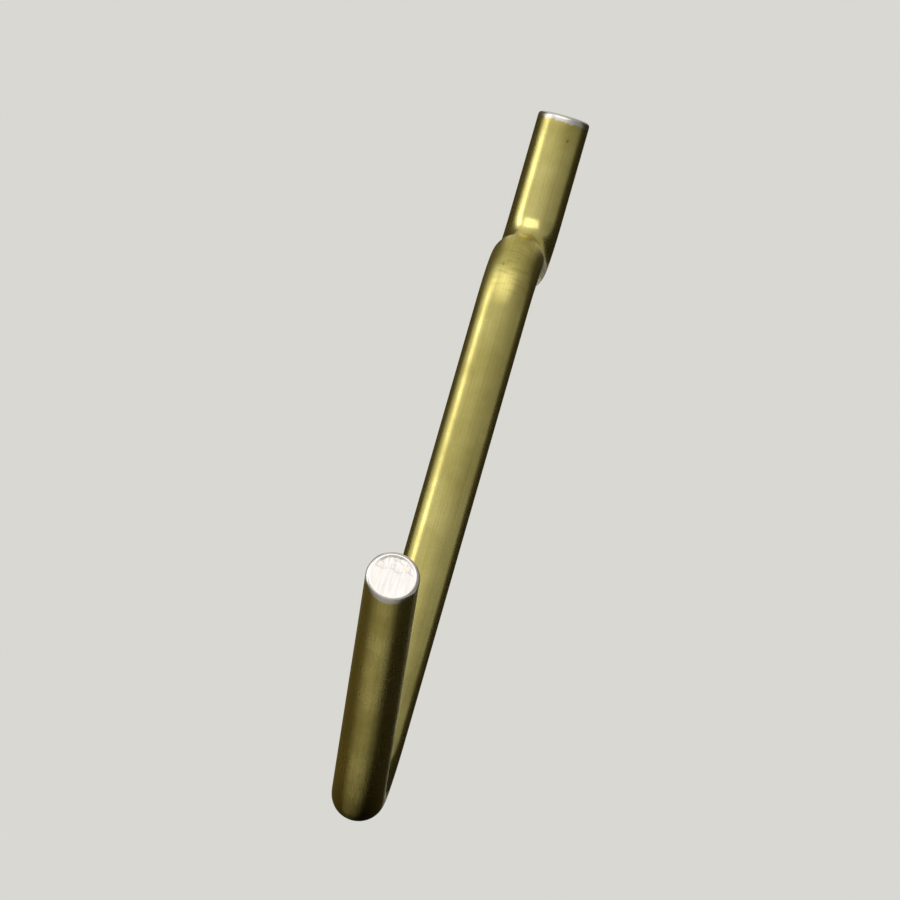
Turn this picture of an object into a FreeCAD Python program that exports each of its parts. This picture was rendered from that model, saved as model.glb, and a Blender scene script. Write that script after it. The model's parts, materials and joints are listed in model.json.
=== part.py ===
import FreeCAD, Part
import math
import os

# Pegboard hook: one length of round steel wire, sheared off and bent cold, all in one plane.
# +Z is up and +Y goes into the board, so the prong reaches out along -Y. The board's front
# face is the plane y = 0, and the origin is where the throat's centreline crosses it.

# Wire, in millimetres
wire_diameter = 3.175
end_chamfer = 0.25

# Board that the hook is made for
board_thickness = 6.35
board_clearance = 0.65

# Tail, which stands up behind the board, from the throat's centreline to its cut end
tail_rise = 9.5
throat_inside_radius = 1.6

# Prong, from the board's face to the centre of its cut end, and its slope above level
reach = 38.1
prong_angle = 20.0

# Cradle, the low bend between leg and prong, whose centreline lies this far below the throat's
drop = 33.5
cradle_inside_radius = 2.4

wire_radius = wire_diameter / 2
throat_radius = throat_inside_radius + wire_radius
cradle_radius = cradle_inside_radius + wire_radius
tail_front = board_thickness + board_clearance

# Straight runs between the bends
tail_run = tail_rise - throat_radius
throat_run = tail_front - 2 * throat_inside_radius
leg_run = drop - throat_radius - cradle_radius
prong_slope = math.radians(prong_angle)
prong_foot = wire_radius + cradle_radius * (1 + math.sin(prong_slope))
prong_run = (reach - prong_foot) / math.cos(prong_slope)

ACROSS = FreeCAD.Vector(1, 0, 0)
UP = FreeCAD.Vector(0, 0, 1)


class Bender:
    """Feeds the wire out and bends it, keeping track of where its end is and which way it points."""

    def __init__(self, start, heading):
        self.start = start
        self.end = start
        self.heading = heading
        self.lengths = []

    def section(self):
        """The wire's round cross-section at its present end."""
        outline = Part.makeCircle(wire_radius, self.end, self.heading)
        return Part.Face(Part.Wire(outline))

    def feed(self, length):
        """Feed out a straight run."""
        run = self.section().extrude(self.heading * length)
        self.lengths.append(run)
        self.end = self.end + self.heading * length

    def bend(self, radius, angle):
        """Bend to a centreline radius, with positive degrees turning Y towards Z."""
        side = math.copysign(1, angle)
        axis = ACROSS * side
        centre = self.end + axis.cross(self.heading) * radius
        self.lengths.append(self.section().revolve(centre, axis, abs(angle)))
        turn = FreeCAD.Rotation(axis, abs(angle))
        self.end = centre + turn.multVec(self.end - centre)
        self.heading = turn.multVec(self.heading)

    def cut_off(self):
        """The bent wire as one solid, with the sharp edge broken at both cut ends."""
        wire = self.lengths[0].multiFuse(self.lengths[1:]).removeSplitter().Solids[0]
        rims = [edge for edge in wire.Edges if self.is_rim(edge)]
        return wire.makeChamfer(end_chamfer, rims)

    def is_rim(self, edge):
        """Whether an edge goes round one of the two cut ends."""
        if not isinstance(edge.Curve, Part.Circle):
            return False
        centre = edge.Curve.Center
        return any(centre.isEqual(cut, wire_radius / 100) for cut in (self.start, self.end))


def make_hook():
    """The hook, bent from the top of its tail to the tip of its prong."""
    tail_top = FreeCAD.Vector(0, tail_front + wire_radius, tail_rise)
    bender = Bender(tail_top, -UP)
    bender.feed(tail_run)
    bender.bend(throat_radius, -90)
    bender.feed(throat_run)
    bender.bend(throat_radius, 90)
    bender.feed(leg_run)
    bender.bend(cradle_radius, -90 - prong_angle)
    bender.feed(prong_run)
    return bender.cut_off()


os.makedirs("parts", exist_ok=True)
make_hook().exportStep("parts/hook_wire.step")
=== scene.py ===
import json
import math

import bmesh
import bpy
from bpy.props import FloatProperty, FloatVectorProperty, IntProperty, PointerProperty
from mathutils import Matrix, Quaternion, Vector, noise


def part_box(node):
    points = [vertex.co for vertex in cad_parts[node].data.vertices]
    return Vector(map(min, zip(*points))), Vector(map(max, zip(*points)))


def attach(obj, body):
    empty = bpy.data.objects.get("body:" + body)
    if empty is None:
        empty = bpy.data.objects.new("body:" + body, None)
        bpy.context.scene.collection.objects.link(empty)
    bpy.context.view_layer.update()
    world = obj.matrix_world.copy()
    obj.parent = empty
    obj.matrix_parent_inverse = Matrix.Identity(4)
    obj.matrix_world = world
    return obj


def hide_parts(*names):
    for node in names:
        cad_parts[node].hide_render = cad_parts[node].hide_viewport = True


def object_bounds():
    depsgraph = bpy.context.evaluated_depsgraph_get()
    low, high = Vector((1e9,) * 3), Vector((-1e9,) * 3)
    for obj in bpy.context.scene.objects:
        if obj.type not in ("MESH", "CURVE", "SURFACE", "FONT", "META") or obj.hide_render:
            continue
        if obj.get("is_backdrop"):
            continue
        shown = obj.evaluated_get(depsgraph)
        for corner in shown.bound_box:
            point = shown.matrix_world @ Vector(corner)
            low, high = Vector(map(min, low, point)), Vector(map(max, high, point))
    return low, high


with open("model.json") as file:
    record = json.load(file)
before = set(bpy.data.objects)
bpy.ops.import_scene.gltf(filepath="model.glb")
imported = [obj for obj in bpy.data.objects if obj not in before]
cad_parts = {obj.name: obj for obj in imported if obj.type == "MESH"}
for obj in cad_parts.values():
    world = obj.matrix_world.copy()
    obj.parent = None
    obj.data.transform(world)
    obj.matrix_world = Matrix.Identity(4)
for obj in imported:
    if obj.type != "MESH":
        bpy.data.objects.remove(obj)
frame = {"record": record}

bl_info = {
    "name": "Pegboard Hook",
    "version": (1, 0, 0),
    "blender": (4, 5, 0),
    "location": "3D View > Sidebar > Pegboard Hook",
    "description": "Bends a brass-plated wire hook and sets a plain stage for it",
    "category": "Add Mesh",
}

MM = 0.001
ACROSS = Vector((1, 0, 0))
UP = Vector((0, 0, 1))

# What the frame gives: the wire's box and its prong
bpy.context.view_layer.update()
WIRE_LOW, WIRE_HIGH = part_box("hook_wire")
PRONG = next(m for m in frame["record"]["mounts"] if m["name"] == "hanging_prong")
PRONG_HEADING = Vector(PRONG["axis"]).normalized()

# The wire's second material is the steel of its cut ends
STEEL_SLOT = 1

# Attributes that say, from 0 to 1, what cutting, bending and use did to the plating
WEAR = ("worn", "strained", "rubbed")

# Places of the colour sockets on Blender's Mix node, which share their names with other sockets
MIX_UNDER = 6
MIX_OVER = 7
MIX_RESULT = 2


def linear(hex_colour):
    """A colour written as #RRGGBB, in the linear values that shaders take."""
    channels = [int(hex_colour[i:i + 2], 16) / 255 for i in (1, 3, 5)]
    return [c / 12.92 if c <= 0.04045 else ((c + 0.055) / 1.055) ** 2.4 for c in channels]


def per_metre(size_mm):
    """The texture scale at which a pattern's marks come out about this many millimetres wide."""
    return 1 / (size_mm * MM)


def limited(value):
    """A value kept between 0 and 1."""
    return min(max(value, 0), 1)


class HookWireSizes(bpy.types.PropertyGroup):
    """Sizes of the bent wire."""

    radius: FloatProperty(
        name="Wire radius",
        description="Half the diameter of the drawn wire",
        default=PRONG["dims"]["r_mm"] * MM,
        unit="LENGTH",
    )
    throat_bend: FloatProperty(
        name="Throat bends",
        description="Inside radius of the two bends at the throat",
        default=1.6 * MM,
        unit="LENGTH",
    )
    cradle_bend: FloatProperty(
        name="Cradle bend",
        description="Inside radius of the low bend between leg and prong",
        default=2.4 * MM,
        unit="LENGTH",
    )
    rim: FloatProperty(
        name="Rolled rim",
        description="How far the shears rolled the rim over at each cut end",
        default=0.25 * MM,
        unit="LENGTH",
    )
    tear: FloatProperty(
        name="Tear",
        description="How far the torn part of a cut end lies below its rim",
        default=0.06 * MM,
        unit="LENGTH",
    )
    flat: FloatProperty(
        name="Bend flat",
        description="How far the former flattened the outside of each bend",
        default=0.05 * MM,
        unit="LENGTH",
    )
    ring_gap: FloatProperty(
        name="Ring spacing",
        description="Distance between the mesh's rings on straight runs",
        default=0.5 * MM,
        unit="LENGTH",
    )
    ring_turn: FloatProperty(
        name="Ring turn",
        description="Angle between the mesh's rings in bends",
        default=math.radians(3),
        subtype="ANGLE",
    )
    sides: IntProperty(
        name="Sides",
        description="Vertices in each ring, a multiple of four",
        default=96,
        min=16,
    )


class HookColours(bpy.types.PropertyGroup):
    """Colours of the plating and of the steel under it."""

    brass: FloatVectorProperty(
        name="Brass",
        description="Clean brass plating",
        default=linear("#CEC37C"),
        subtype="COLOR",
    )
    tarnish: FloatVectorProperty(
        name="Tarnish",
        description="Plating that has gone dull and olive",
        default=linear("#938843"),
        subtype="COLOR",
    )
    glance: FloatVectorProperty(
        name="Glancing brass",
        description="Tint of the plating where it is seen almost edge-on",
        default=linear("#F5EDCE"),
        subtype="COLOR",
    )
    freckle: FloatVectorProperty(
        name="Freckles",
        description="Small spots of old tarnish",
        default=linear("#6B6030"),
        subtype="COLOR",
    )
    steel: FloatVectorProperty(
        name="Steel",
        description="Bare steel at the cut ends",
        default=linear("#C9C5C1"),
        subtype="COLOR",
    )


class StageSettings(bpy.types.PropertyGroup):
    """Floor, light and camera."""

    backdrop: FloatVectorProperty(
        name="Backdrop",
        description="Pale grey of the floor and of what lies beyond it",
        default=linear("#D9D8D3"),
        subtype="COLOR",
    )
    left_light: FloatProperty(
        name="Light on the left",
        description="Strength of the light that the surroundings give the hook's left side",
        default=1.3,
    )
    right_light: FloatProperty(
        name="Light on the right",
        description="Strength of the light that the surroundings give the hook's right side",
        default=0.4,
    )
    key_place: FloatVectorProperty(
        name="Key light's place",
        description="From the middle of the hook to the large lamp above and in front",
        default=(-0.15, -0.66, 0.58),
        subtype="TRANSLATION",
    )
    key_size: FloatVectorProperty(
        name="Key light's size",
        description="Width and height of the large lamp",
        default=(1.0, 0.65),
        size=2,
        unit="LENGTH",
    )
    key_power: FloatProperty(
        name="Key light",
        description="Power of the large lamp",
        default=3,
        unit="POWER",
    )
    side_place: FloatVectorProperty(
        name="Side light's place",
        description="From the middle of the hook to the tall lamp on the left",
        default=(-0.7, -0.2, 0.25),
        subtype="TRANSLATION",
    )
    side_size: FloatVectorProperty(
        name="Side light's size",
        description="Width and height of the tall lamp",
        default=(0.25, 0.6),
        size=2,
        unit="LENGTH",
    )
    side_power: FloatProperty(
        name="Side light",
        description="Power of the tall lamp",
        default=1.2,
        unit="POWER",
    )
    left_felt: FloatVectorProperty(
        name="Left felt",
        description="Brown of the cards on the left that the metal mirrors",
        default=linear("#594F31"),
        subtype="COLOR",
    )
    left_fade: FloatProperty(
        name="Left fade",
        description="Angle at the hook's foot over which the cards on the left thin out",
        default=0.8,
        subtype="ANGLE",
    )
    right_felt: FloatVectorProperty(
        name="Right felt",
        description="Black of the cards on the right that the metal mirrors",
        default=linear("#2C291E"),
        subtype="COLOR",
    )
    right_fade: FloatProperty(
        name="Right fade",
        description="Angle at the hook's foot over which the cards on the right thin out",
        default=0.5,
        subtype="ANGLE",
    )
    distance: FloatProperty(
        name="Camera distance",
        description="From the camera to the middle of the hook",
        default=1.3,
        unit="LENGTH",
    )
    picture_width: FloatProperty(
        name="Picture width",
        description="Width of what the camera sees at the hook",
        default=53 * MM,
        unit="LENGTH",
    )
    turn: FloatProperty(
        name="Turn",
        description="How far round the hook the camera stands, to the right",
        default=math.radians(2.8),
        subtype="ANGLE",
    )
    look_up: FloatProperty(
        name="Look up",
        description="How far below the hook's own level the camera looks from",
        default=math.radians(2.9),
        subtype="ANGLE",
    )
    roll: FloatProperty(
        name="Roll",
        description="How far the hook leans to the right in the picture",
        default=math.radians(16),
        subtype="ANGLE",
    )


def add_node(tree, kind, values=None, links=None, **settings):
    """Add a node, set its sockets and settings, and link outputs of other nodes into it."""
    node = tree.nodes.new(kind)
    for name, value in settings.items():
        setattr(node, name, value)
    for socket, value in (values or {}).items():
        node.inputs[socket].default_value = value
    for socket, source in (links or {}).items():
        tree.links.new(source, node.inputs[socket])
    return node


def new_material(name):
    """An empty node material, with its tree and its Principled shader linked to the output."""
    material = bpy.data.materials.new(name)
    material.use_nodes = True
    tree = material.node_tree
    tree.nodes.clear()
    shader = add_node(tree, "ShaderNodeBsdfPrincipled")
    add_node(tree, "ShaderNodeOutputMaterial", links={"Surface": shader.outputs[0]})
    return material, tree, shader


def opaque(colour):
    """A property's colour as a shader socket takes it."""
    return (*colour, 1)


def tarnish_patches(tree, unbent, rubbed):
    """Soft patches some 5 mm across, and how far they dull the plating: less where it is rubbed."""
    patches = add_node(
        tree,
        "ShaderNodeTexNoise",
        {"Scale": per_metre(5), "Detail": 5, "Roughness": 0.6},
        {"Vector": unbent},
    ).outputs[0]
    kept = add_node(
        tree, "ShaderNodeMath", {1: -0.25}, {0: rubbed, 2: patches}, operation="MULTIPLY_ADD"
    ).outputs[0]
    dulled = add_node(
        tree,
        "ShaderNodeMapRange",
        {"From Min": 0.38, "From Max": 0.68, "To Min": 0.05, "To Max": 0.75},
        {"Value": kept},
    ).outputs[0]
    return patches, dulled


def drawing_lines(tree, unbent):
    """Lines that the drawing die left along the wire, and how far tarnish has settled in them.

    The real ones are some 0.02 mm wide, so they are drawn coarser, to show.
    """
    lengthwise = add_node(
        tree, "ShaderNodeMapping", {"Scale": (1, 1, 0.01)}, {"Vector": unbent}
    ).outputs[0]
    lines = add_node(
        tree,
        "ShaderNodeTexNoise",
        {"Scale": per_metre(0.14), "Detail": 3, "Roughness": 0.65},
        {"Vector": lengthwise},
    ).outputs[0]
    grooves = add_node(
        tree, "ShaderNodeMapRange", {"From Min": 0.5, "From Max": 0.75, "To Max": 0.5}, {"Value": lines}
    ).outputs[0]
    return lines, grooves


def tarnish_freckles(tree, unbent, patches):
    """Freckles of old tarnish, up to a third of a millimetre across, in the duller patches."""
    from_freckle = add_node(
        tree,
        "ShaderNodeTexVoronoi",
        {"Scale": per_metre(0.9), "Randomness": 1},
        {"Vector": unbent},
        feature="F1",
    ).outputs["Distance"]
    reach = add_node(
        tree, "ShaderNodeMapRange", {"From Min": 0.45, "From Max": 0.7, "To Max": 0.2}, {"Value": patches}
    ).outputs[0]
    inside = add_node(
        tree, "ShaderNodeMath", links={0: reach, 1: from_freckle}, operation="SUBTRACT"
    ).outputs[0]
    return add_node(
        tree,
        "ShaderNodeMapRange",
        {"From Max": 0.08, "To Max": 0.7},
        {"Value": inside},
        interpolation_type="SMOOTHSTEP",
    ).outputs[0]


def bend_crazing(tree, unbent, strained):
    """Cracks across the wire where bending strained the plating.

    The real ones are finer than a pixel, so they are drawn coarser, to show.
    """
    crosswise = add_node(
        tree, "ShaderNodeMapping", {"Scale": (0.14, 0.14, 1)}, {"Vector": unbent}
    ).outputs[0]
    cracks = add_node(
        tree,
        "ShaderNodeTexNoise",
        {"Scale": per_metre(0.12), "Detail": 2, "Roughness": 0.5},
        {"Vector": crosswise},
    ).outputs[0]
    cracked = add_node(
        tree, "ShaderNodeMapRange", {"From Min": 0.5, "From Max": 0.7, "To Max": 0.55}, {"Value": cracks}
    ).outputs[0]
    return add_node(
        tree, "ShaderNodeMath", links={0: cracked, 1: strained}, operation="MULTIPLY"
    ).outputs[0]


def bare_rims(tree, unbent, worn):
    """Where the plating is sheared through at the rims, along a ragged line of 0.3 mm chips."""
    chips = add_node(
        tree, "ShaderNodeTexNoise", {"Scale": per_metre(0.3), "Detail": 3}, {"Vector": unbent}
    ).outputs[0]
    chipped = add_node(
        tree, "ShaderNodeMath", links={0: worn, 1: chips}, operation="ADD"
    ).outputs[0]
    return add_node(
        tree,
        "ShaderNodeMapRange",
        {"From Min": 1.05, "From Max": 1.25},
        {"Value": chipped},
        interpolation_type="SMOOTHSTEP",
    ).outputs[0]


def plated_wire_material(colours):
    """Brass-plated steel wire, drawn, plated and then bent: a satin yellow metal with an olive cast.

    Drawing leaves fine lines along the wire. The thin plating dulls unevenly in soft patches and small
    freckles, crazes across the outside of the bends, is rubbed bright where board and load touch it, and
    is sheared through to steel at the rims of the cut ends.
    """
    material, tree, shader = new_material("brass_plated_drawn_steel_wire")
    unbent = add_node(tree, "ShaderNodeAttribute", attribute_name="unbent").outputs["Vector"]
    worn, strained, rubbed = (
        add_node(tree, "ShaderNodeAttribute", attribute_name=name).outputs["Fac"] for name in WEAR
    )
    patches, dulled = tarnish_patches(tree, unbent, rubbed)
    lines, grooves = drawing_lines(tree, unbent)
    freckled = tarnish_freckles(tree, unbent, patches)
    crazed = bend_crazing(tree, unbent, strained)
    bare = bare_rims(tree, unbent, worn)

    # From clean brass on, each mark covers what lies under it
    surface = add_node(
        tree,
        "ShaderNodeMix",
        {MIX_UNDER: opaque(colours.brass), MIX_OVER: opaque(colours.tarnish)},
        {"Factor": dulled},
        data_type="RGBA",
    ).outputs[MIX_RESULT]
    marks = (
        (grooves, colours.tarnish),
        (freckled, colours.freckle),
        (crazed, colours.tarnish),
        (bare, colours.steel),
    )
    for cover, colour in marks:
        surface = add_node(
            tree,
            "ShaderNodeMix",
            {MIX_OVER: opaque(colour)},
            {"Factor": cover, MIX_UNDER: surface},
            data_type="RGBA",
        ).outputs[MIX_RESULT]

    # The lines stand up, and cracks and freckles are sunk
    relief = add_node(
        tree, "ShaderNodeBump", {"Strength": 0.3, "Distance": 0.01 * MM}, {"Height": lines}
    ).outputs[0]
    for sunk, depth in ((crazed, 0.012 * MM), (freckled, 0.01 * MM)):
        relief = add_node(
            tree,
            "ShaderNodeBump",
            {"Strength": 0.5, "Distance": depth},
            {"Height": sunk, "Normal": relief},
            invert=True,
        ).outputs[0]

    # Satin as drawn and plated, duller with tarnish and strain, smoother where it is rubbed
    roughness = add_node(
        tree, "ShaderNodeMath", {1: 0.22, 2: 0.14}, {0: lines}, operation="MULTIPLY_ADD"
    ).outputs[0]
    for change, amount in ((dulled, 0.14), (freckled, 0.2), (strained, 0.12), (rubbed, -0.07)):
        roughness = add_node(
            tree, "ShaderNodeMath", {1: amount}, {0: change, 2: roughness}, operation="MULTIPLY_ADD"
        ).outputs[0]

    shader.inputs["Metallic"].default_value = 1
    shader.inputs["Specular Tint"].default_value = opaque(colours.glance)
    tree.links.new(surface, shader.inputs["Base Color"])
    tree.links.new(roughness, shader.inputs["Roughness"])
    tree.links.new(relief, shader.inputs["Normal"])
    return material


def cut_steel_material(colours):
    """Low-carbon steel, sheared and left bare: bright and satin, with fine scores from the blade."""
    material, tree, shader = new_material("sheared_bare_steel")
    unbent = add_node(tree, "ShaderNodeAttribute", attribute_name="unbent").outputs["Vector"]
    # Blade scores are finer than a pixel, so they are drawn coarser, to show
    along_cut = add_node(
        tree, "ShaderNodeMapping", {"Scale": (1, 0.06, 1)}, {"Vector": unbent}
    ).outputs[0]
    scores = add_node(
        tree,
        "ShaderNodeTexNoise",
        {"Scale": per_metre(0.12), "Detail": 3, "Roughness": 0.6},
        {"Vector": along_cut},
    ).outputs[0]
    relief = add_node(
        tree, "ShaderNodeBump", {"Strength": 0.3, "Distance": 0.01 * MM}, {"Height": scores}
    ).outputs[0]
    roughness = add_node(
        tree,
        "ShaderNodeMapRange",
        {"From Min": 0.3, "From Max": 0.7, "To Min": 0.34, "To Max": 0.5},
        {"Value": scores},
    ).outputs[0]
    shader.inputs["Metallic"].default_value = 1
    shader.inputs["Base Color"].default_value = opaque(colours.steel)
    tree.links.new(roughness, shader.inputs["Roughness"])
    tree.links.new(relief, shader.inputs["Normal"])
    return material


class StraightRun:
    """A straight stretch of the wire's centreline."""

    def __init__(self, start, heading, length, fed):
        self.start = start
        self.heading = heading
        self.length = length
        self.fed = fed
        self.middle = fed + length / 2
        self.end = start + heading * length
        self.end_heading = heading

    def locate(self, point):
        """A point's distance from the centreline, length along the wire and offset in the wire's plane."""
        along = (point - self.start).dot(self.heading)
        reached = min(max(along, 0), self.length)
        nearest = self.start + self.heading * reached
        offset = (point - self.start).dot(ACROSS.cross(self.heading))
        return (point - nearest).length, self.fed + along, offset

    def outward(self, point):
        """No side of a straight run is the outside of a bend."""
        return 0, Vector()


class Bend:
    """An arc of the wire's centreline, about an axis across the wire's plane."""

    def __init__(self, start, heading, radius, angle, fed):
        self.radius = radius
        self.angle = abs(angle)
        self.axis = ACROSS * math.copysign(1, angle)
        self.centre = start + self.axis.cross(heading) * radius
        self.heading = heading
        self.out = (start - self.centre).normalized()
        self.fed = fed
        self.length = radius * self.angle
        self.middle = fed + self.length / 2
        turn = Quaternion(self.axis, self.angle)
        self.end = self.centre + turn @ (start - self.centre)
        self.end_heading = turn @ heading

    def turned(self, point):
        """The point's arm from the bend's centre, in the wire's plane, and the angle that it has turned."""
        arm = point - self.centre
        arm.x = 0
        return arm, math.atan2(arm.dot(self.heading), arm.dot(self.out))

    def locate(self, point):
        """A point's distance from the centreline, length along the wire and offset in the wire's plane."""
        arm, angle = self.turned(point)
        reached = min(max(angle, 0), self.angle)
        nearest = self.centre + Quaternion(self.axis, reached) @ (self.out * self.radius)
        side = self.out.dot(ACROSS.cross(self.heading))
        offset = (arm.length - self.radius) * side
        return (point - nearest).length, self.fed + self.radius * angle, offset

    def outward(self, point):
        """How far outside the centreline a point lies, easing off to the bend's ends, and the way out."""
        arm, angle = self.turned(point)
        halfway = math.sin(math.pi * limited(angle / self.angle))
        return halfway * max(arm.length - self.radius, 0), arm.normalized()


class WireBender:
    """Feeds a ring of vertices out and bends it in edit mode, and remembers the centreline."""

    def __init__(self, sizes, start, heading):
        self.sizes = sizes
        self.end = start
        self.heading = heading
        self.stretches = []

    @property
    def fed(self):
        """Length of wire so far."""
        return sum(stretch.length for stretch in self.stretches)

    def follow(self, stretch):
        """Take a new stretch into the centreline, and move the end to its end."""
        self.stretches.append(stretch)
        self.end = stretch.end
        self.heading = stretch.end_heading
        return stretch

    def feed(self, length):
        """Extrude a straight run, ring by ring."""
        count = max(1, round(length / self.sizes.ring_gap))
        for _ in range(count):
            step = self.heading * length / count
            bpy.ops.mesh.extrude_region_move(TRANSFORM_OT_translate={"value": step})
        return self.follow(StraightRun(self.end, self.heading, length, self.fed))

    def bend(self, inside_radius, angle):
        """Spin the end ring round a former. A positive angle turns Y towards Z."""
        bend = Bend(self.end, self.heading, inside_radius + self.sizes.radius, angle, self.fed)
        steps = max(1, round(bend.angle / self.sizes.ring_turn))
        # The spin operator turns left-handed, so its axis is reversed
        bpy.ops.mesh.spin(steps=steps, angle=bend.angle, center=bend.centre, axis=-bend.axis)
        return self.follow(bend)

    def stretch_at(self, point):
        """The stretch whose centreline passes nearest to a point."""
        return min(self.stretches, key=lambda stretch: stretch.locate(point)[0])

    def unbent(self, point):
        """Where a point of the finished wire was while the wire was still straight."""
        _, along, offset = self.stretch_at(point).locate(point)
        return Vector((point.x, offset, along))


def begin_wire(sizes, colours, start):
    """Add the wire's first ring, square to its tail, and leave it selected in edit mode."""
    bpy.ops.object.select_all(action="DESELECT")
    bpy.ops.mesh.primitive_circle_add(vertices=sizes.sides, radius=sizes.radius, location=start)
    bpy.ops.object.transform_apply(location=True)
    hook = bpy.context.active_object
    hook.name = "bent_hook_wire"
    hook.data.materials.append(plated_wire_material(colours))
    hook.data.materials.append(cut_steel_material(colours))
    bpy.ops.object.mode_set(mode="EDIT")
    bpy.ops.mesh.select_mode(type="VERT")
    bpy.ops.mesh.select_all(action="SELECT")
    return hook


def form_hook(bender, tail_top):
    """Feed and bend the wire from its tail to its prong, and return its throat and its cradle."""
    sizes = bender.sizes
    throat = sizes.throat_bend + sizes.radius
    cradle = sizes.cradle_bend + sizes.radius
    drop = -(WIRE_LOW.z + sizes.radius)
    slope = math.asin(PRONG_HEADING.z)
    tip_run = PRONG["dims"]["length_mm"] / 2 * MM + sizes.rim
    tip = Vector(PRONG["pos_m"]) + PRONG_HEADING * tip_run

    bender.feed(tail_top.z - sizes.rim - throat)
    bender.bend(sizes.throat_bend, -math.pi / 2)
    throat_run = bender.feed(tail_top.y + sizes.radius - 2 * throat)
    bender.bend(sizes.throat_bend, math.pi / 2)
    bender.feed(drop - throat - cradle)
    cradle_bend = bender.bend(sizes.cradle_bend, -math.pi / 2 - slope)
    bender.feed((tip - bender.end).dot(bender.heading) - sizes.rim)
    return throat_run, cradle_bend


def select_ring(mesh, centre, heading, radius):
    """In edit mode, select only the ring of vertices that lies square to the wire at a point."""
    tolerance = radius / 100
    edit = bmesh.from_edit_mesh(mesh)
    for vertex in edit.verts:
        away = vertex.co - centre
        in_plane = abs(away.dot(heading)) < tolerance
        vertex.select = in_plane and away.length < radius + tolerance
    edit.select_flush_mode()
    bmesh.update_edit_mesh(mesh)


def roll_rim(centre, outward, radius, rim, rings=4):
    """Round the selected end ring over, from the wire's side to its cut face."""
    shrunk = radius
    height = 0
    for ring in range(1, rings + 1):
        angle = math.pi / 2 * ring / rings
        rise = rim * math.sin(angle) - height
        height += rise
        bpy.ops.mesh.extrude_region_move(TRANSFORM_OT_translate={"value": outward * rise})
        target = radius - rim * (1 - math.cos(angle))
        bpy.ops.transform.resize(value=(target / shrunk,) * 3, center_override=centre + outward * height)
        shrunk = target


def shear_face(mesh, centre, outward, face_radius, tear):
    """Shape the selected cut face: smooth where the blade slid, and torn below its rim where it broke."""
    blade_way = ACROSS.cross(outward)
    tear_starts = -0.25 * face_radius
    tear_ends = -0.95 * face_radius
    tear_wanders = 0.15 * face_radius
    rim_slope = 0.12 * face_radius
    wander_mm = 0.5
    grain_mm = 0.16
    grain_share = 0.4
    edit = bmesh.from_edit_mesh(mesh)
    for vertex in edit.verts:
        if not vertex.select:
            continue
        away = vertex.co - centre
        ragged = tear_wanders * noise.noise(Vector((away.x, 0, 0)) * per_metre(wander_mm))
        torn = limited((tear_starts + ragged - away.dot(blade_way)) / (tear_starts - tear_ends))
        inside = limited((face_radius - away.length) / rim_slope)
        grain = 1 + grain_share * noise.noise(away * per_metre(grain_mm))
        vertex.co -= outward * tear * inside * torn ** 0.5 * grain
    bmesh.update_edit_mesh(mesh)


def cut_end(hook, centre, outward, sizes):
    """Close one end of the wire with a sheared face of bare steel."""
    ring_centre = centre - outward * sizes.rim
    select_ring(hook.data, ring_centre, outward, sizes.radius)
    roll_rim(ring_centre, outward, sizes.radius, sizes.rim)
    bpy.ops.mesh.fill_grid(span=sizes.sides // 4)
    bpy.ops.mesh.subdivide(number_cuts=1)
    shear_face(hook.data, centre, outward, sizes.radius - sizes.rim, sizes.tear)
    hook.active_material_index = STEEL_SLOT
    bpy.ops.object.material_slot_assign()


def close_surface(radius):
    """Merge what meets, turn all faces outwards and leave edit mode."""
    bpy.ops.mesh.select_all(action="SELECT")
    bpy.ops.mesh.remove_doubles(threshold=radius / 10000)
    bpy.ops.mesh.normals_make_consistent(inside=False)
    bpy.ops.object.mode_set(mode="OBJECT")


def near(along, middle, reach):
    """1 at the middle of a mark along the wire, falling off softly over its reach."""
    return math.exp(-(((along - middle) / reach) ** 2))


def mark_wire(hook, bender, throat_run, cradle_bend):
    """Store where each vertex was on the straight wire, and what became of the plating there."""
    mesh = hook.data
    radius = bender.sizes.radius
    mesh.attributes.new("unbent", "FLOAT_VECTOR", "POINT")
    for name in WEAR:
        mesh.attributes.new(name, "FLOAT", "POINT")
    unbent = mesh.attributes["unbent"].data
    worn, strained, rubbed = (mesh.attributes[name].data for name in WEAR)
    rim_reach = 2 * bender.sizes.rim
    board_reach = 2.5 * MM
    hung_reach = 9 * MM
    for vertex in mesh.vertices:
        index = vertex.index
        place = bender.unbent(vertex.co)
        unbent[index].vector = place
        from_cut = min(place.z, bender.fed - place.z)
        worn[index].value = limited(1 - from_cut / rim_reach)
        strained[index].value = bender.stretch_at(vertex.co).outward(vertex.co)[0] / radius
        # The board's hole rubs the throat's underside, and what hangs on the hook rubs the cradle's inside
        under_throat = max(place.y / radius, 0) * near(place.z, throat_run.middle, board_reach)
        in_cradle = max(-place.y / radius, 0) * near(place.z, cradle_bend.middle, hung_reach)
        rubbed[index].value = under_throat + in_cradle


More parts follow.
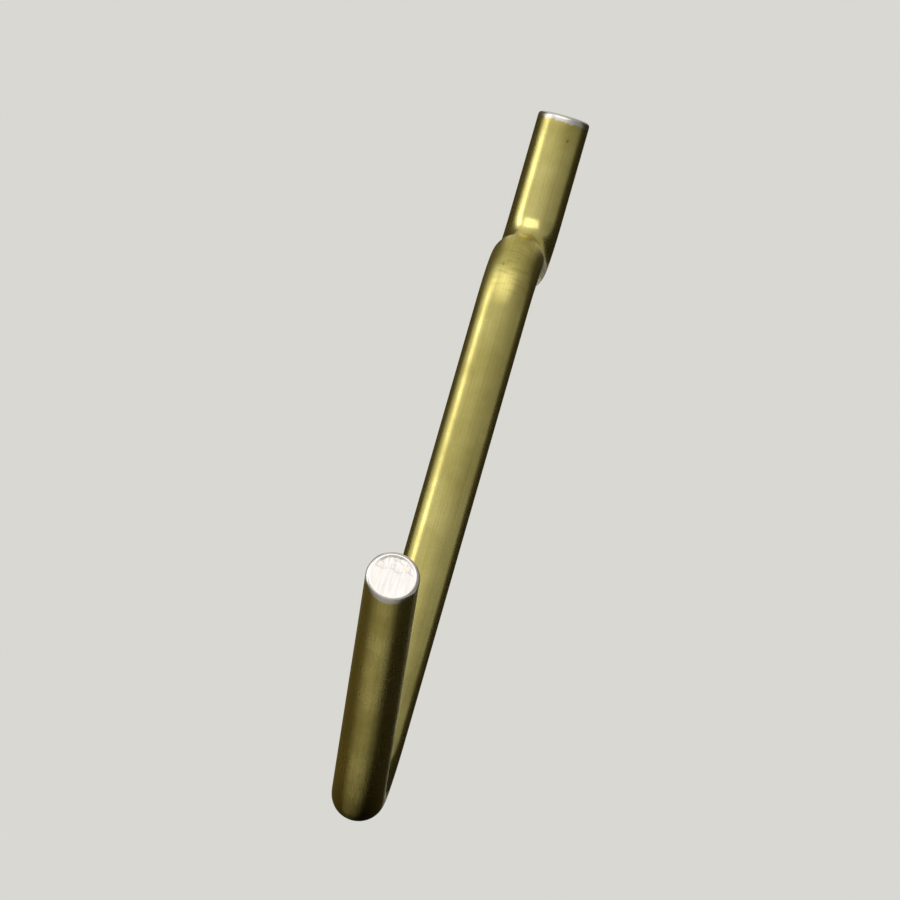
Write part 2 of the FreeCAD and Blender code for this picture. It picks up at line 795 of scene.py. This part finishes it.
def lay_flat(hook, bender):
    """Lay the surface out in a UV map for baking: the wire in strips side by side, its cut faces above."""
    mesh = hook.data
    unbent = mesh.attributes["unbent"].data
    radius = bender.sizes.radius
    girth = 2 * math.pi * radius
    gap = 0.3 * MM
    rim_room = 3 * bender.sizes.rim
    strips = 3
    strip_length = bender.fed / strips
    faces_from = strip_length + 2 * rim_room + gap
    whole = max(strips * (girth + gap), faces_from + 2 * radius)
    layer = mesh.uv_layers.new(name="OFBake", do_init=False)
    for face in mesh.polygons:
        places = [unbent[index].vector.copy() for index in face.vertices]
        centre = sum(places, Vector()) / len(places)
        at_tip = centre.z > bender.fed / 2
        strip = min(max(int(centre.z / strip_length), 0), strips - 1)
        turn = math.atan2(centre.y, centre.x)
        for corner, place in zip(face.loop_indices, places):
            if face.material_index == STEEL_SLOT:
                across = place.x + radius + at_tip * (2 * radius + gap)
                along = place.y + radius + faces_from
            else:
                lean = math.remainder(math.atan2(place.y, place.x) - turn, 2 * math.pi)
                across = (turn + lean + math.pi) * radius + gap / 2 + strip * (girth + gap)
                rolled_in = radius - math.hypot(place.x, place.y)
                past_end = rolled_in if at_tip else -rolled_in
                along = place.z + past_end - strip * strip_length + rim_room
            layer.uv[corner].vector = (across / whole, along / whole)


def press_bends(hook, bender):
    """Flatten the outside of each bend a little, as the former does."""
    for vertex in hook.data.vertices:
        beyond, out = bender.stretch_at(vertex.co).outward(vertex.co)
        vertex.co -= out * beyond / bender.sizes.radius * bender.sizes.flat


class HOOK_OT_bend_wire(bpy.types.Operator):
    """Bend the hook from one length of wire, from the top of its tail to the tip of its prong"""

    bl_idname = "pegboard_hook.bend_wire"
    bl_label = "Bend the wire"

    def execute(self, context):
        sizes = context.scene.hook_wire
        tail_top = Vector((0, WIRE_HIGH.y - sizes.radius, WIRE_HIGH.z))
        start = tail_top - UP * sizes.rim
        hook = begin_wire(sizes, context.scene.hook_colours, start)
        bender = WireBender(sizes, start, -UP)
        throat_run, cradle_bend = form_hook(bender, tail_top)
        cut_end(hook, bender.end + bender.heading * sizes.rim, bender.heading, sizes)
        cut_end(hook, tail_top, UP, sizes)
        close_surface(sizes.radius)

        # The bends are pressed last, because the marks are worked out on the round wire
        mark_wire(hook, bender, throat_run, cradle_bend)
        lay_flat(hook, bender)
        press_bends(hook, bender)
        bpy.ops.object.shade_smooth_by_angle(angle=math.radians(50))
        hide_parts("hook_wire")
        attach(hook, "root")
        return {"FINISHED"}


def floor_material(colour):
    """Pale matt floor, seen only from above, that goes over into the backdrop's own colour far away."""
    matt_within = 0.1
    backdrop_from = 0.5
    material, tree, shader = new_material("pale_matt_floor")
    shader.inputs["Base Color"].default_value = opaque(colour)
    shader.inputs["Roughness"].default_value = 0.7
    shader.inputs["Specular IOR Level"].default_value = 0
    place = add_node(tree, "ShaderNodeTexCoord").outputs["Object"]
    away = add_node(
        tree, "ShaderNodeVectorMath", links={0: place}, operation="LENGTH"
    ).outputs["Value"]
    far = add_node(
        tree,
        "ShaderNodeMapRange",
        {"From Min": matt_within, "From Max": backdrop_from},
        {"Value": away},
        interpolation_type="SMOOTHSTEP",
    ).outputs[0]
    backdrop = add_node(tree, "ShaderNodeEmission", {"Color": opaque(colour)}).outputs[0]
    upper_side = add_node(
        tree, "ShaderNodeMixShader", links={0: far, 1: shader.outputs[0], 2: backdrop}
    ).outputs[0]
    # The camera may stand below the floor's level, so the underside lets the view through
    underside = add_node(tree, "ShaderNodeNewGeometry").outputs["Backfacing"]
    clear = add_node(tree, "ShaderNodeBsdfTransparent").outputs[0]
    one_way = add_node(
        tree, "ShaderNodeMixShader", links={0: underside, 1: upper_side, 2: clear}
    ).outputs[0]
    tree.links.new(one_way, tree.get_output_node("ALL").inputs["Surface"])
    return material


def lay_floor(colour, place):
    """A wide round floor under the hook."""
    bpy.ops.object.select_all(action="DESELECT")
    bpy.ops.mesh.primitive_circle_add(vertices=96, radius=4, fill_type="NGON")
    floor = bpy.context.active_object
    floor.name = "floor"
    floor.location = place
    floor.data.materials.append(floor_material(colour))
    floor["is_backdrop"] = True


def graded_surroundings(stage):
    """Pale surroundings: plain to the camera, and to the hook light on its left and dimmer on its right."""
    world = bpy.data.worlds.new("pale_surroundings")
    world.use_nodes = True
    tree = world.node_tree
    background = tree.nodes["Background"]
    background.inputs["Color"].default_value = opaque(stage.backdrop)
    way = add_node(tree, "ShaderNodeTexCoord").outputs["Generated"]
    rightward = add_node(tree, "ShaderNodeSeparateXYZ", links={0: way}).outputs["X"]
    graded = add_node(
        tree,
        "ShaderNodeMapRange",
        {"From Min": -0.4, "From Max": 1, "To Min": stage.left_light, "To Max": stage.right_light},
        {"Value": rightward},
    ).outputs[0]
    seen = add_node(tree, "ShaderNodeLightPath").outputs["Is Camera Ray"]
    strength = add_node(tree, "ShaderNodeMix", {"B": 1}, {"Factor": seen, "A": graded})
    tree.links.new(strength.outputs[0], background.inputs["Strength"])
    return world


def add_lamp(name, place, aim, size, power):
    """A softbox that points at the hook and stays out of the camera's sight."""
    lamp = bpy.data.lights.new(name, "AREA")
    lamp.shape = "RECTANGLE"
    lamp.size, lamp.size_y = size
    lamp.energy = power
    holder = bpy.data.objects.new(name, lamp)
    holder.location = place
    holder.rotation_euler = (aim - place).to_track_quat("-Z", "Y").to_euler()
    holder.visible_camera = False
    bpy.context.scene.collection.objects.link(holder)


def felt_material(name, colour, foot, fade):
    """Dark felt on card, which gives back little light.

    It thins out towards a line on the floor from the hook's foot to the front, over the angle fade
    at the foot, so that its edge shows soft in the metal.
    """
    thinnest = 0.26
    material, tree, shader = new_material(name)
    shader.inputs["Base Color"].default_value = opaque(colour)
    shader.inputs["Roughness"].default_value = 1
    shader.inputs["Specular IOR Level"].default_value = 0
    place = add_node(tree, "ShaderNodeTexCoord").outputs["Object"]
    from_foot = add_node(tree, "ShaderNodeMapping", {"Location": -foot}, {"Vector": place}).outputs[0]
    parts = add_node(tree, "ShaderNodeSeparateXYZ", links={0: from_foot}).outputs
    aside = add_node(tree, "ShaderNodeMath", links={0: parts["X"]}, operation="ABSOLUTE").outputs[0]
    ahead = add_node(tree, "ShaderNodeMath", {1: -1}, {0: parts["Y"]}, operation="MULTIPLY").outputs[0]
    angle = add_node(
        tree, "ShaderNodeMath", links={0: aside, 1: ahead}, operation="ARCTAN2"
    ).outputs[0]
    cover = add_node(
        tree,
        "ShaderNodeMapRange",
        {"From Max": fade, "To Min": thinnest},
        {"Value": angle},
        interpolation_type="SMOOTHSTEP",
    ).outputs[0]
    tree.links.new(cover, shader.inputs["Alpha"])
    return material


def add_flag(name, place, facing, size, felt):
    """A dark card that shows only in the hook's metal, where it draws the dark sides of the wire."""
    bpy.ops.object.select_all(action="DESELECT")
    bpy.ops.mesh.primitive_plane_add(size=1)
    flag = bpy.context.active_object
    flag.name = name
    flag.scale = (*size, 1)
    flag.rotation_mode = "QUATERNION"
    flag.rotation_quaternion = facing.to_track_quat("Z", "Y")
    flag.location = place
    bpy.ops.object.transform_apply(location=True, rotation=True, scale=True)
    for rays in ("camera", "diffuse", "transmission", "volume_scatter", "shadow"):
        setattr(flag, "visible_" + rays, False)
    flag.data.materials.append(felt)
    flag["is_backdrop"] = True


def place_flags(stage, wire, ground):
    """One card upright behind the hook and one lying under it, on each of its sides."""
    upright_aside = 0.07
    upright_front = 0.015
    upright_length = 0.5
    upright_height = 0.12
    lying_front = -0.07
    lying_length = 0.4
    lying_width = 0.062
    lying_height = 0.05 * MM
    foot = Vector((0, -2 * wire.radius - wire.cradle_bend, ground))
    left_felt = felt_material("brown_felt", stage.left_felt, foot, stage.left_fade)
    right_felt = felt_material("black_felt", stage.right_felt, foot, stage.right_fade)
    for side, felt in ((-1, left_felt), (1, right_felt)):
        inward = Vector((-side, 0, 0))
        upright_y = upright_front + upright_length / 2
        upright = Vector((side * upright_aside, upright_y, ground + upright_height / 2))
        add_flag("upright_flag", upright, inward, (upright_length, upright_height), felt)
        lying_y = lying_front + lying_length / 2
        lying = Vector((side * lying_width / 2, lying_y, ground + lying_height))
        add_flag("lying_flag", lying, UP, (lying_width, lying_length), felt)


def aim_camera(stage, aim):
    """A camera in front of the hook, a little to its right and below it, rolled so that the hook leans."""
    camera = bpy.data.objects.new("camera", bpy.data.cameras.new("camera"))
    bpy.context.scene.collection.objects.link(camera)
    in_front = Vector((0, -math.cos(stage.look_up), -math.sin(stage.look_up)))
    to_camera = Quaternion(UP, stage.turn) @ in_front
    unrolled = (-to_camera).to_track_quat("-Z", "Y")
    line_of_sight = Vector((0, 0, 1))
    camera.location = aim + to_camera * stage.distance
    camera.rotation_mode = "QUATERNION"
    camera.rotation_quaternion = unrolled @ Quaternion(line_of_sight, stage.roll)
    camera.data.lens = camera.data.sensor_width * stage.distance / stage.picture_width
    return camera


class HOOK_OT_set_stage(bpy.types.Operator):
    """Lay the floor and set the light and the camera"""

    bl_idname = "pegboard_hook.set_stage"
    bl_label = "Set the stage"

    def execute(self, context):
        scene = context.scene
        stage = scene.hook_stage
        low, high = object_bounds()
        middle = (low + high) / 2
        key_place = middle + Vector(stage.key_place)
        side_place = middle + Vector(stage.side_place)

        lay_floor(stage.backdrop, (middle.x, middle.y, low.z))
        scene.world = graded_surroundings(stage)
        add_lamp("key_softbox", key_place, middle, stage.key_size, stage.key_power)
        add_lamp("side_softbox", side_place, middle, stage.side_size, stage.side_power)
        place_flags(stage, scene.hook_wire, low.z)
        scene.camera = aim_camera(stage, middle)
        scene.view_settings.view_transform = "Standard"
        return {"FINISHED"}


class HOOK_PT_sidebar(bpy.types.Panel):
    """The hook's pieces, sizes and stage"""

    bl_label = "Pegboard Hook"
    bl_space_type = "VIEW_3D"
    bl_region_type = "UI"
    bl_category = "Pegboard Hook"

    def draw(self, context):
        for operator in (HOOK_OT_bend_wire, HOOK_OT_set_stage):
            self.layout.operator(operator.bl_idname)
        for group in (context.scene.hook_wire, context.scene.hook_colours, context.scene.hook_stage):
            column = self.layout.column()
            for name in group.bl_rna.properties.keys():
                if name not in ("rna_type", "name"):
                    column.prop(group, name)


CLASSES = (
    HookWireSizes,
    HookColours,
    StageSettings,
    HOOK_OT_bend_wire,
    HOOK_OT_set_stage,
    HOOK_PT_sidebar,
)


def register():
    for cls in CLASSES:
        bpy.utils.register_class(cls)
    bpy.types.Scene.hook_wire = PointerProperty(type=HookWireSizes)
    bpy.types.Scene.hook_colours = PointerProperty(type=HookColours)
    bpy.types.Scene.hook_stage = PointerProperty(type=StageSettings)


def unregister():
    del bpy.types.Scene.hook_stage
    del bpy.types.Scene.hook_colours
    del bpy.types.Scene.hook_wire
    for cls in reversed(CLASSES):
        bpy.utils.unregister_class(cls)


def main():
    """Make the hook and its stage."""
    register()
    bpy.ops.pegboard_hook.bend_wire()
    bpy.ops.pegboard_hook.set_stage()


if __name__ == "__main__":
    main()
